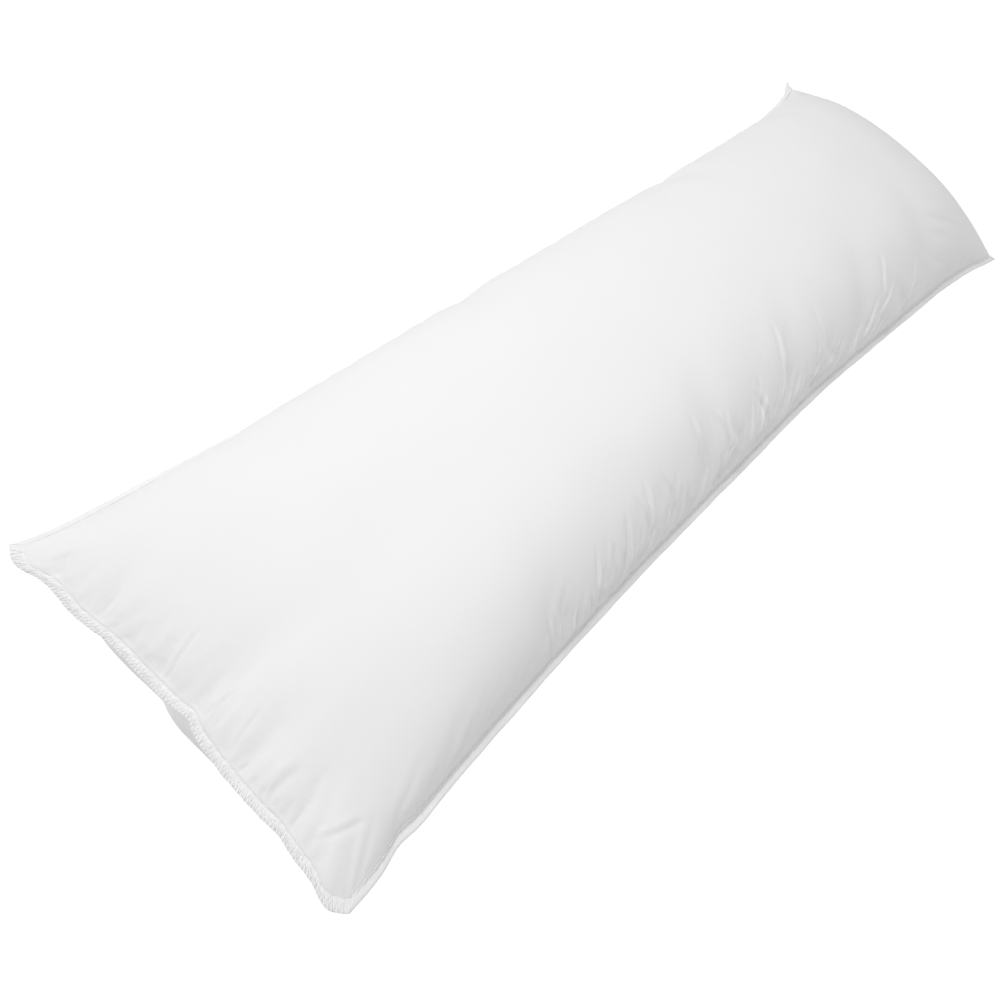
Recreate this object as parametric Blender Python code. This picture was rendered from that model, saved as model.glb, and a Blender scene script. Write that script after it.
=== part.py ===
"""Body pillow, lying on its back panel.

X runs along the pillow from the near end (-X) to the far end (+X), Y across it from the right
side (-Y) to the left side (+Y), and Z up. The origin is on the floor under the middle.

A place on either panel is given by two fractions: along, from -1 at the near end to +1 at the
far end, and across, from -1 at the right side to +1 at the left side.
"""

import math
from collections import namedtuple

import bmesh
import bpy

# Driving dimensions of the filled pillow, in metres, corner to corner and without the seam edge
LENGTH = 1.47
WIDTH = 0.470
SEAM_LEVEL = 0.080          # height of the sewn seam above the floor, away from the corners
NEAR_LIFT = 0.003           # how much higher an end's seam rides between its corners
FAR_LIFT = -0.012
CROWN = 0.132               # rise of the front panel above the seam, at the middle

# How far each edge is drawn in between its corners by the filling
RIGHT_DRAW = 0.038
LEFT_DRAW = 0.025
NEAR_DRAW = 0.008
FAR_DRAW = 0.023

# The four corners. end and side: the signs of along and across there; height: of the tip above
# the floor; ear: how far the empty tip of cloth stands out sideways; blunt: how much shorter the
# turned tip is; pinch: how far the side is drawn in beside the corner, and how far off it is most.
Corner = namedtuple("Corner", "end side height ear blunt pinch pinch_off")
CORNERS = (
    Corner(-1, 1, 0.085, 0.002, 0.0055, 0.0045, 0.055),
    Corner(-1, -1, 0.070, 0.000, 0.0100, 0.0000, 0.060),
    Corner(1, -1, 0.081, 0.000, 0.0015, 0.0000, 0.060),
    Corner(1, 1, 0.083, 0.012, 0.0000, 0.0070, 0.200),
)
EAR_REACH = 0.025           # an ear fades over this distance from the tip
BLUNT_REACH = 0.010
SIDEWAYS = -0.005           # brings the origin under the middle, for the far left ear

# How the thickness grows inwards from each edge. shoulder: higher keeps the full thickness closer
# to the edge; roundness: half is as round as an ellipse, one is a wedge.
Swell = namedtuple("Swell", "shoulder roundness")
FRONT_NEAR_SWELL = Swell(3.4, 0.80)
BACK_NEAR_SWELL = Swell(5.0, 0.50)
FAR_SWELL = Swell(6.0, 0.45)
FRONT_RIGHT_SWELL = Swell(3.2, 0.53)
FRONT_LEFT_SWELL = Swell(2.05, 0.58)
SIDE_SWELL = Swell(1.95, 0.52)      # of the back panel, and of both panels at the far end
FAR_START = 0.75            # fraction along from which the sides change to that

RIM_HEIGHT = 0.003          # the rim where the two panels meet

# The back panel: it lies flat where the swell passes 1 / BELLY_FILL, and bulges below the seam
BELLY_FILL = 1.25
SIDE_BULGE = 0.008
END_BULGE = 0.026

# The sewn edge that stands out all round: both panels' seam allowance, stitched together
EDGE_GAP = 0.0004           # clearance between the edge and the pillow's rim
EDGE_WIDTH = 0.0100
EDGE_THICKNESS = 0.0028
EDGE_DROOP = 0.0015         # how far the outer side of the edge hangs
MITRE_GAP = 0.0004          # clearance between two edges at a corner

# Mesh density: panel squares along and across, and how much they crowd towards the seam
SQUARES_ALONG = 80
SQUARES_ACROSS = 28
CROWDING = 0.5

COTTON_WHITE = (0.90, 0.90, 0.895, 1.0)
COTTON_ROUGHNESS = 0.8

# Soft troughs in the front panel. side: the edge it starts from; place: where along that edge,
# from -1 to 1; reach: how far it runs in; width: half its width; depth; lean: sideways run per
# metre of reach.
Trough = namedtuple("Trough", "side place reach width depth lean")
FRONT_TROUGHS = (
    Trough("near", 0.55, 0.10, 0.016, 0.004, 0.2),
    Trough("near", 0.02, 0.12, 0.020, 0.006, -0.2),
    Trough("near", -0.32, 0.09, 0.018, 0.005, -0.1),
    Trough("near", -0.66, 0.11, 0.022, 0.005, 0.1),
    Trough("right", -0.55, 0.10, 0.030, 0.004, 0.2),
    Trough("right", -0.18, 0.13, 0.030, 0.005, 0.3),
    Trough("right", 0.08, 0.14, 0.028, 0.005, 0.3),
    Trough("right", 0.34, 0.12, 0.028, 0.005, 0.3),
    Trough("right", 0.62, 0.15, 0.030, 0.006, 0.2),
    Trough("left", -0.70, 0.11, 0.030, 0.004, 0.1),
    Trough("left", -0.25, 0.10, 0.030, 0.003, -0.1),
    Trough("left", 0.30, 0.12, 0.030, 0.004, 0.2),
    Trough("left", 0.71, 0.08, 0.020, 0.004, 0.0),
)
BACK_TROUGHS = (
    Trough("near", 0.30, 0.08, 0.020, 0.004, 0.1),
    Trough("near", -0.45, 0.08, 0.020, 0.004, -0.1),
    Trough("right", -0.35, 0.09, 0.030, 0.004, 0.0),
    Trough("right", 0.45, 0.09, 0.030, 0.004, 0.1),
    Trough("left", 0.05, 0.09, 0.030, 0.004, 0.0),
    Trough("far", 0.20, 0.08, 0.020, 0.004, 0.0),
)
TROUGH_START = 0.012        # a trough grows to its full depth over this distance from the seam

# Places where the seam is pulled in and lifted, at the near end by its closing stitches and on
# the right side by slack in the filling. Where the pull is negative the filling pushes it out.
Tuck = namedtuple("Tuck", "side place width pull lift")
TUCKS = (
    Tuck("near", 0.94, 0.012, -0.0030, 0.000),
    Tuck("near", 0.81, 0.014, 0.0016, 0.001),
    Tuck("near", 0.60, 0.018, 0.0020, 0.000),
    Tuck("near", 0.41, 0.022, 0.0017, 0.000),
    Tuck("near", 0.19, 0.070, 0.0042, -0.001),
    Tuck("near", -0.01, 0.022, 0.0036, 0.003),
    Tuck("near", -0.59, 0.022, 0.0042, 0.001),
    Tuck("near", -0.79, 0.014, 0.0010, 0.000),
    Tuck("near", -0.94, 0.016, -0.0035, 0.000),
    Tuck("right", -0.895, 0.022, 0.0042, 0.000),
    Tuck("right", -0.38, 0.100, -0.0010, 0.000),
    Tuck("right", 0.22, 0.150, 0.0040, 0.000),
    Tuck("right", 0.77, 0.075, 0.0022, 0.000),
    Tuck("right", 0.96, 0.030, -0.0035, 0.000),
)
TUCK_FADE = 0.05            # a tuck's pull fades over this distance into the panel


def crowd(fraction):
    """Spread even fractions so that they lie closer together towards -1 and 1."""
    eased = math.sin(fraction * math.pi / 2)
    return (1 - CROWDING) * fraction + CROWDING * eased


def swelling(fraction, swell):
    """Share of the full thickness: 1 over the middle and 0 at the seam."""
    return max(0.0, 1 - abs(fraction) ** swell.shoulder) ** swell.roundness


def fullness(along, across, near_swell, right_swell, left_swell):
    end_swell = near_swell if along < 0 else FAR_SWELL
    side_swell = right_swell if across < 0 else left_swell
    far = max(0.0, (along - FAR_START) / (1 - FAR_START))
    far = far * far * (3 - 2 * far)
    side = (1 - far) * swelling(across, side_swell) + far * swelling(across, SIDE_SWELL)
    return swelling(along, end_swell) * side


def tucked(side, along, across):
    """Pull and lift of one edge's tucks at a place on a panel."""
    if side == "near":
        inward, run, half_run = (1 + along) * LENGTH / 2, across * WIDTH / 2, WIDTH / 2
    else:
        inward, run, half_run = (1 + across) * WIDTH / 2, along * LENGTH / 2, LENGTH / 2
    pull = 0.0
    lift = 0.0
    for tuck in TUCKS:
        if tuck.side == side:
            distance = run - tuck.place * half_run
            share = math.exp(-inward / TUCK_FADE) * math.exp(-(distance / tuck.width) ** 2)
            pull += share * tuck.pull
            lift += share * tuck.lift
    return pull, lift


def pinched(corner, along):
    """How far a side is drawn in beside one corner: nothing at the tip, most at pinch_off."""
    off = (1 - corner.end * along) * LENGTH / 2 / corner.pinch_off
    return corner.pinch * off ** 2 * math.exp(2 - 2 * off)


def plan_place(along, across, margin=0.0):
    """Place seen from above. A margin moves the seam outwards, and the corners with it."""
    end_draw = NEAR_DRAW if along < 0 else FAR_DRAW
    side_draw = RIGHT_DRAW if across < 0 else LEFT_DRAW
    half_length = LENGTH / 2 + margin - end_draw * (1 - abs(across) ** 1.8)
    half_width = WIDTH / 2 + margin - side_draw * (1 - abs(along) ** 2.6)
    for corner in CORNERS:
        if corner.side * across > 0:
            half_width -= pinched(corner, along)
    x = along * half_length + tucked("near", along, across)[0]
    y = across * half_width + tucked("right", along, across)[0] + SIDEWAYS
    for corner in CORNERS:
        along_off = (1 - corner.end * along) * LENGTH / 2
        across_off = (1 - corner.side * across) * WIDTH / 2
        off = along_off + across_off
        x -= corner.end * corner.blunt * math.exp(-off / BLUNT_REACH)
        y += corner.side * corner.ear * math.exp(-off / EAR_REACH)
    return x, y


def seam_height(along, across):
    """Height of the surface through the seam: level, but for the corners and the two ends."""
    tips = 0.0
    for corner in CORNERS:
        tips += corner.height * (1 + corner.end * along) / 2 * (1 + corner.side * across) / 2
    cornerness = abs(along) ** 8 * abs(across) ** 4
    end_lift = (NEAR_LIFT if along < 0 else FAR_LIFT) * abs(along) ** 6 * (1 - across ** 4)
    tuck_lift = tucked("near", along, across)[1]
    return tips * cornerness + (SEAM_LEVEL + end_lift) * (1 - cornerness) + tuck_lift


def front_place(along, across):
    x, y = plan_place(along, across)
    full = fullness(along, across, FRONT_NEAR_SWELL, FRONT_RIGHT_SWELL, FRONT_LEFT_SWELL)
    z = seam_height(along, across) + RIM_HEIGHT / 2 + CROWN * full
    return x, y, z


def back_place(along, across):
    """The back panel curves down from the seam, and lies on the floor over its middle."""
    full = fullness(along, across, BACK_NEAR_SWELL, SIDE_SWELL, SIDE_SWELL)
    fill = min(1.0, BELLY_FILL * full)
    bulge = 4 * fill * (1 - fill)
    x, y = plan_place(along, across)
    x += END_BULGE * bulge * along ** 9 * (1 - across ** 4)
    y += SIDE_BULGE * bulge * across
    z = (seam_height(along, across) - RIM_HEIGHT / 2) * (1 - fill) ** 1.5
    return x, y, z


def trough_depth(troughs, along, across):
    """How deep the soft troughs are at a place on a panel."""
    to_side = {
        "near": (1 + along) * LENGTH / 2,
        "far": (1 - along) * LENGTH / 2,
        "right": (1 + across) * WIDTH / 2,
        "left": (1 - across) * WIDTH / 2,
    }
    depth = 0.0
    for trough in troughs:
        inward = to_side[trough.side]
        if trough.side in ("near", "far"):
            sideways = (across - trough.place) * WIDTH / 2
        else:
            sideways = (along - trough.place) * LENGTH / 2
        sideways -= trough.lean * inward
        start = 1 - math.exp(-(inward / TROUGH_START) ** 2)
        fade = math.exp(-(inward / trough.reach) ** 2)
        depth += trough.depth * start * fade * math.exp(-(sideways / trough.width) ** 2)
    return depth


def add_panel(shell, place, troughs, facing_up):
    """One panel: a grid laid over the shape, then pressed in along its troughs."""
    grid = bmesh.ops.create_grid(
        shell, x_segments=SQUARES_ALONG, y_segments=SQUARES_ACROSS, size=1.0)
    panel_verts = grid["verts"]
    panel_faces = {face for vert in panel_verts for face in vert.link_faces}
    fractions = [(crowd(vert.co.x), crowd(vert.co.y)) for vert in panel_verts]
    for vert, (along, across) in zip(panel_verts, fractions):
        vert.co = place(along, across)
    if not facing_up:
        bmesh.ops.reverse_faces(shell, faces=list(panel_faces))
    for face in panel_faces:
        face.normal_update()
    for vert in panel_verts:
        vert.normal_update()
    for vert, (along, across) in zip(panel_verts, fractions):
        off_floor = min(1.0, vert.co.z / SEAM_LEVEL)
        vert.co -= vert.normal * trough_depth(troughs, along, across) * off_floor
    return panel_verts


def pillow_mesh():
    """Front and back panels, joined all round by the narrow rim of the seam."""
    shell = bmesh.new()
    add_panel(shell, front_place, FRONT_TROUGHS, facing_up=True)
    add_panel(shell, back_place, BACK_TROUGHS, facing_up=False)
    open_edges = [edge for edge in shell.edges if edge.is_boundary]
    bmesh.ops.bridge_loops(shell, edges=open_edges)
    bmesh.ops.recalc_face_normals(shell, faces=shell.faces)
    return shell


# Section of the sewn edge: out from the seam, and up, as shares of its width and half thickness
SectionPoint = namedtuple("SectionPoint", "out up")
EDGE_SECTION = (
    SectionPoint(0.00, 1.0),
    SectionPoint(0.78, 1.0),
    SectionPoint(1.00, 0.3),
    SectionPoint(1.00, -0.3),
    SectionPoint(0.78, -1.0),
    SectionPoint(0.00, -1.0),
)

# side: which edge; sign: the end of its own fraction it sits at; crinkle: height of its waves
SewnEdge = namedtuple("SewnEdge", "node side sign crinkle")
SEWN_EDGES = (
    SewnEdge("near_end_edge", "end", -1, 0.0030),
    SewnEdge("far_end_edge", "end", 1, 0.0015),
    SewnEdge("right_edge", "long", -1, 0.0006),
    SewnEdge("left_edge", "long", 1, 0.0006),
)


def crinkle_height(edge, run):
    """Uneven waves in the sewn edge, from three wavelengths that never line up."""
    slow = math.sin(run / 0.0175 + 0.4)
    middle = math.sin(run / 0.0106 + 1.9)
    quick = math.sin(run / 0.0071 + 0.7)
    return edge.crinkle * (0.5 * slow + 0.35 * middle + 0.15 * quick)


def edge_mesh(edge):
    """A strip rolled up from a grid round its section, and closed at both mitred ends."""
    on_end = edge.side == "end"
    squares = SQUARES_ACROSS if on_end else SQUARES_ALONG
    half_run = (WIDTH if on_end else LENGTH) / 2
    limit = 1 - MITRE_GAP / half_run
    strip = bmesh.new()
    grid = bmesh.ops.create_grid(
        strip, x_segments=squares, y_segments=len(EDGE_SECTION), size=1.0)
    for vert in grid["verts"]:
        run = min(limit, max(-limit, crowd(vert.co.x)))
        corner = round((vert.co.y + 1) / 2 * len(EDGE_SECTION)) % len(EDGE_SECTION)
        point = EDGE_SECTION[corner]
        along, across = (edge.sign, run) if on_end else (run, edge.sign)
        x, y = plan_place(along, across, EDGE_GAP + point.out * EDGE_WIDTH)
        hang = (crinkle_height(edge, run * half_run) - EDGE_DROOP) * point.out ** 2
        z = seam_height(along, across) + point.up * EDGE_THICKNESS / 2 + hang
        vert.co = (x, y, z)
    bmesh.ops.remove_doubles(strip, verts=strip.verts, dist=0.00001)
    open_edges = [seam for seam in strip.edges if seam.is_boundary]
    bmesh.ops.holes_fill(strip, edges=open_edges, sides=0)
    bmesh.ops.recalc_face_normals(strip, faces=strip.faces)
    return strip


def cotton(name):
    material = bpy.data.materials.new(name)
    material.use_nodes = True
    shader = material.node_tree.nodes["Principled BSDF"]
    shader.inputs["Base Color"].default_value = COTTON_WHITE
    shader.inputs["Roughness"].default_value = COTTON_ROUGHNESS
    shader.inputs["Metallic"].default_value = 0.0
    material.diffuse_color = COTTON_WHITE
    return material


def add_node(collection, name, shape, material):
    mesh = bpy.data.meshes.new(name)
    shape.to_mesh(mesh)
    shape.free()
    mesh.shade_smooth()
    mesh.materials.append(material)
    collection.objects.link(bpy.data.objects.new(name, mesh))


for old in list(bpy.data.objects):
    bpy.data.objects.remove(old)
body_pillow = bpy.data.collections.new("body_pillow")
bpy.context.scene.collection.children.link(body_pillow)

add_node(body_pillow, "pillow", pillow_mesh(), cotton("pillow_cotton"))
for sewn_edge in SEWN_EDGES:
    add_node(body_pillow, sewn_edge.node, edge_mesh(sewn_edge), cotton(sewn_edge.node + "_cotton"))
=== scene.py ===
import math
from collections import namedtuple

import bpy
import numpy as np
from mathutils import Matrix, Vector


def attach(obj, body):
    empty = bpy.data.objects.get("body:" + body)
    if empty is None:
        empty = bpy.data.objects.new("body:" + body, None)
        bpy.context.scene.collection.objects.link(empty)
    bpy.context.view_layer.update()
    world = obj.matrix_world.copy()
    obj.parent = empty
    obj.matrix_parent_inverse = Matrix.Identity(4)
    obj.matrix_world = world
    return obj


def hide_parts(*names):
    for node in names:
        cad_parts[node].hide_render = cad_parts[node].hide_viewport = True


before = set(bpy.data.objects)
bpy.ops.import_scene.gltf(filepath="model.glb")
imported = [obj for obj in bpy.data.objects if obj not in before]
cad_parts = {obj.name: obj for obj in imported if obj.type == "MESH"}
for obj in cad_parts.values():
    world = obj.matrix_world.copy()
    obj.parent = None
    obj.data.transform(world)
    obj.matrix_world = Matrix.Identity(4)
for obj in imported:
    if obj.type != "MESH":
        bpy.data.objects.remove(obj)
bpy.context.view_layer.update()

# ---------------------------------------------------------------------------------------------
# Filled case. Two panels of fine white cotton, cut about 508 x 1524 mm, sewn together, turned
# and stuffed with loose fibre through the near end. The fibre crowns the front panel and draws
# the sides in between the corners; the back panel lies flat on the floor.
#
# A place on a panel is given by two fractions: along, from -1 at the near end to +1 at the far
# end (X), and across, from -1 at the right side to +1 at the left side (Y).
# ---------------------------------------------------------------------------------------------
LENGTH = 1.47                # filled, corner to corner, in metres, without the seam edge
WIDTH = 0.470
SEAM_LEVEL = 0.080           # height of the seam above the floor
NEAR_LIFT = 0.003
FAR_LIFT = -0.012
CROWN = 0.132                # rise of the front panel above the seam
RIGHT_DRAW = 0.038           # how far the filling draws each edge in between its corners
LEFT_DRAW = 0.025
NEAR_DRAW = 0.008
FAR_DRAW = 0.023
SIDE_DRAW_POWER = 2.6        # higher keeps the middle of a side straighter
END_DRAW_POWER = 1.8
RIM_HEIGHT = 0.003
BELLY_FILL = 1.25            # the back panel lies flat where its swell passes 1 / BELLY_FILL
SIDE_BULGE = 0.008
FAR_BULGE = 0.026
SIDEWAYS = -0.005            # puts the origin under the middle

# The four corners. end and side: the signs of along and across there; height: above the floor;
# ear: how far the empty tip of cloth stands out sideways; blunt: how much shorter the turned tip
# is; pinch: how far the side is drawn in beside the corner, and how far off it is most.
Corner = namedtuple("Corner", "end side height ear blunt pinch pinch_off")
CORNERS = (
    Corner(-1, 1, 0.085, 0.002, 0.0055, 0.0020, 0.055),
    Corner(-1, -1, 0.070, 0.000, 0.0095, -0.0020, 0.042),
    Corner(1, -1, 0.083, 0.006, 0.0030, 0.0000, 0.060),
    Corner(1, 1, 0.083, 0.013, 0.0000, 0.0070, 0.200),
)
EAR_REACH = 0.025            # an ear fades over this distance from the tip
BLUNT_REACH = 0.010

# How the thickness grows inwards. shoulder: higher keeps it full closer to the edge; roundness:
# half is as round as an ellipse, one is a wedge.
Swell = namedtuple("Swell", "shoulder roundness")
FRONT_NEAR_SWELL = Swell(3.4, 0.80)
BACK_NEAR_SWELL = Swell(5.0, 0.50)
FAR_SWELL = Swell(6.0, 0.45)
FRONT_RIGHT_SWELL = Swell(3.2, 0.53)
FRONT_LEFT_SWELL = Swell(1.95, 0.52)
SIDE_SWELL = Swell(1.95, 0.52)      # of the back panel, and of both panels at the far end
FAR_START = 0.70             # fraction along from which the sides change to that

# Places where the seam is nipped in. place: where along its edge, from -1 to 1; width: half its
# width; pull: inwards, or outwards where it is negative; lift: upwards.
Nip = namedtuple("Nip", "side place width pull lift")
NIPS = (
    Nip("near", 0.92, 0.016, -0.0064, 0.000),
    Nip("near", 0.78, 0.014, 0.0014, 0.001),
    Nip("near", 0.62, 0.020, -0.0012, 0.000),
    Nip("near", 0.41, 0.022, 0.0017, 0.000),
    Nip("near", 0.19, 0.070, 0.0042, -0.001),
    Nip("near", 0.00, 0.030, 0.0030, 0.002),
    Nip("near", -0.02, 0.010, 0.0036, 0.002),
    Nip("near", -0.59, 0.022, 0.0032, 0.001),
    Nip("near", -0.79, 0.014, 0.0010, 0.000),
    Nip("near", -0.91, 0.018, -0.0058, 0.000),
    Nip("right", -0.895, 0.018, 0.0042, 0.000),
    Nip("right", -0.55, 0.220, -0.0016, 0.000),
    Nip("right", 0.22, 0.150, 0.0040, 0.000),
    Nip("right", 0.77, 0.075, 0.0022, 0.000),
    Nip("right", 0.96, 0.030, -0.0035, 0.000),
)
NIP_FADE = 0.05              # a nip fades over this distance in from the seam

# Where the filling pushes the back panel out past the near end's seam. place and width: fractions
# of the half width; out: in metres.
Belly = namedtuple("Belly", "place width out")
NEAR_BELLIES = (
    Belly(-0.10, 0.80, 0.027),
    Belly(0.02, 0.12, 0.004),
    Belly(0.50, 0.26, 0.011),
)


def crowd(fraction, share):
    """Even fractions moved closer together towards -1 and 1."""
    return (1 - share) * fraction + share * np.sin(fraction * math.pi / 2)


def swelling(fraction, swell):
    """Thickness from 1 in the middle to 0 at the seam, in one direction."""
    return np.maximum(0.0, 1 - np.abs(fraction) ** swell.shoulder) ** swell.roundness


def fullness(along, across, near_swell, right_swell, left_swell):
    """Thickness of one panel's filling, from 1 in the middle to 0 all round."""
    end = np.where(along < 0, swelling(along, near_swell), swelling(along, FAR_SWELL))
    side = np.where(across < 0, swelling(across, right_swell), swelling(across, left_swell))
    far = np.maximum(0.0, (along - FAR_START) / (1 - FAR_START))
    far = far * far * (3 - 2 * far)
    return end * ((1 - far) * side + far * swelling(across, SIDE_SWELL))


def inward(side, along, across):
    """Distance in from one edge, and the place along that edge, in metres from its middle."""
    if side in ("near", "far"):
        sign = -1 if side == "near" else 1
        return (1 - sign * along) * LENGTH / 2, across * WIDTH / 2, WIDTH / 2
    sign = -1 if side == "right" else 1
    return (1 - sign * across) * WIDTH / 2, along * LENGTH / 2, LENGTH / 2


def nipped(side, along, across):
    """How far the nips of one edge pull a place inwards, and lift it."""
    pull = np.zeros(np.shape(along))
    lift = np.zeros(np.shape(along))
    depth, run, half = inward(side, along, across)
    for nip in NIPS:
        if nip.side == side:
            share = np.exp(-np.maximum(depth, 0) / NIP_FADE)
            share = share * np.exp(-((run - nip.place * half) / nip.width) ** 2)
            pull += share * nip.pull
            lift += share * nip.lift
    return pull, lift


def pinched(corner, along):
    """How far a side is drawn in beside one corner: nothing at the tip, most at pinch_off."""
    off = (1 - corner.end * along) * LENGTH / 2 / corner.pinch_off
    return corner.pinch * off ** 2 * np.exp(2 - 2 * off)


def plan_place(along, across, margin=0.0):
    """Place seen from above. A margin moves the seam outwards, and the corners with it."""
    end_draw = np.where(along < 0, NEAR_DRAW, FAR_DRAW)
    side_draw = np.where(across < 0, RIGHT_DRAW, LEFT_DRAW)
    half_length = LENGTH / 2 + margin - end_draw * (1 - np.abs(across) ** END_DRAW_POWER)
    half_width = WIDTH / 2 + margin - side_draw * (1 - np.abs(along) ** SIDE_DRAW_POWER)
    for corner in CORNERS:
        half_width = half_width - pinched(corner, along) * (corner.side * across > 0)
    x = along * half_length + nipped("near", along, across)[0]
    y = across * half_width + nipped("right", along, across)[0] + SIDEWAYS
    for corner in CORNERS:
        along_off = (1 - corner.end * along) * LENGTH / 2
        across_off = (1 - corner.side * across) * WIDTH / 2
        off = np.maximum(along_off + across_off, 0)
        x = x - corner.end * corner.blunt * np.exp(-off / BLUNT_REACH)
        y = y + corner.side * corner.ear * np.exp(-off / EAR_REACH)
    return x, y


def seam_height(along, across):
    """Height of the seam above the floor, carried on across the panels."""
    tips = 0.0
    for corner in CORNERS:
        share = (1 + corner.end * along) / 2 * (1 + corner.side * across) / 2
        tips = tips + corner.height * share
    cornerness = np.abs(along) ** 8 * np.abs(across) ** 4
    end_lift = np.where(along < 0, NEAR_LIFT, FAR_LIFT) * np.abs(along) ** 6 * (1 - across ** 4)
    lift = nipped("near", along, across)[1]
    return tips * cornerness + (SEAM_LEVEL + end_lift) * (1 - cornerness) + lift


def front_place(along, across):
    x, y = plan_place(along, across)
    full = fullness(along, across, FRONT_NEAR_SWELL, FRONT_RIGHT_SWELL, FRONT_LEFT_SWELL)
    z = seam_height(along, across) + RIM_HEIGHT / 2 + CROWN * full
    return np.stack((x, y, z), axis=-1)


def back_place(along, across):
    full = fullness(along, across, BACK_NEAR_SWELL, SIDE_SWELL, SIDE_SWELL)
    fill = np.minimum(1.0, BELLY_FILL * full)
    bulge = 4 * fill * (1 - fill)
    near_out = sum(
        belly.out * np.exp(-((across - belly.place) / belly.width) ** 2) for belly in NEAR_BELLIES)
    end_out = np.where(along < 0, near_out * (1 - across ** 8), FAR_BULGE * (1 - across ** 4))
    x, y = plan_place(along, across)
    x = x + end_out * bulge * along ** 9 - nipped("near", along, across)[0] * bulge
    y = y + SIDE_BULGE * bulge * across
    z = (seam_height(along, across) - RIM_HEIGHT / 2) * (1 - fill) ** 1.5
    return np.stack((x, y, z), axis=-1)


SLOPE_STEP = 0.0004          # fraction either way over which a slope is taken


def shape_normals(place, along, across, facing_up):
    """Directions square to a panel's smooth shape."""
    lengthwise = place(along + SLOPE_STEP, across) - place(along - SLOPE_STEP, across)
    crosswise = place(along, across + SLOPE_STEP) - place(along, across - SLOPE_STEP)
    normals = np.cross(lengthwise, crosswise)
    normals /= np.maximum(np.linalg.norm(normals, axis=-1, keepdims=True), 1e-12)
    return normals if facing_up else -normals


# Soft troughs where the cloth runs slack between the crown and the seam. place: where along its
# edge; reach: how far in; width: half its width; lean: sideways run per metre of reach. A negative
# depth is a swelling.
Trough = namedtuple("Trough", "side place reach width depth lean")
FRONT_TROUGHS = (
    Trough("near", 0.55, 0.10, 0.016, 0.004, 0.2),
    Trough("near", 0.02, 0.12, 0.020, 0.006, -0.2),
    Trough("near", -0.32, 0.09, 0.018, 0.005, -0.1),
    Trough("near", -0.66, 0.11, 0.022, 0.005, 0.1),
    Trough("right", -0.55, 0.10, 0.030, 0.004, 0.2),
    Trough("right", -0.18, 0.13, 0.030, 0.005, 0.3),
    Trough("right", 0.08, 0.14, 0.028, 0.005, 0.3),
    Trough("right", 0.34, 0.12, 0.028, 0.005, 0.3),
    Trough("right", 0.62, 0.15, 0.030, 0.006, 0.2),
    Trough("left", -0.70, 0.11, 0.030, 0.004, 0.1),
    Trough("left", -0.25, 0.10, 0.030, 0.003, -0.1),
    Trough("left", 0.30, 0.12, 0.030, 0.004, 0.2),
    Trough("left", 0.71, 0.08, 0.020, 0.004, 0.0),
    Trough("left", -0.04, 0.12, 0.220, -0.0025, 0.0),
    Trough("far", -0.05, 0.10, 0.140, -0.0028, 0.0),
)
BACK_TROUGHS = (
    Trough("near", 0.30, 0.08, 0.020, 0.004, 0.1),
    Trough("near", -0.45, 0.08, 0.020, 0.004, -0.1),
    Trough("right", -0.35, 0.09, 0.030, 0.004, 0.0),
    Trough("right", 0.45, 0.09, 0.030, 0.004, 0.1),
    Trough("left", 0.05, 0.09, 0.030, 0.004, 0.0),
    Trough("far", 0.20, 0.08, 0.020, 0.004, 0.0),
)
TROUGH_START = 0.012         # a trough grows to its full depth over this distance from the seam


def trough_depth(troughs, along, across):
    total = np.zeros(np.shape(along))
    for trough in troughs:
        depth, run, half = inward(trough.side, along, across)
        sideways = run - trough.place * half - trough.lean * depth
        start = 1 - np.exp(-(depth / TROUGH_START) ** 2)
        fade = np.exp(-(depth / trough.reach) ** 2)
        total += trough.depth * start * fade * np.exp(-(sideways / trough.width) ** 2)
    return total


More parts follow.
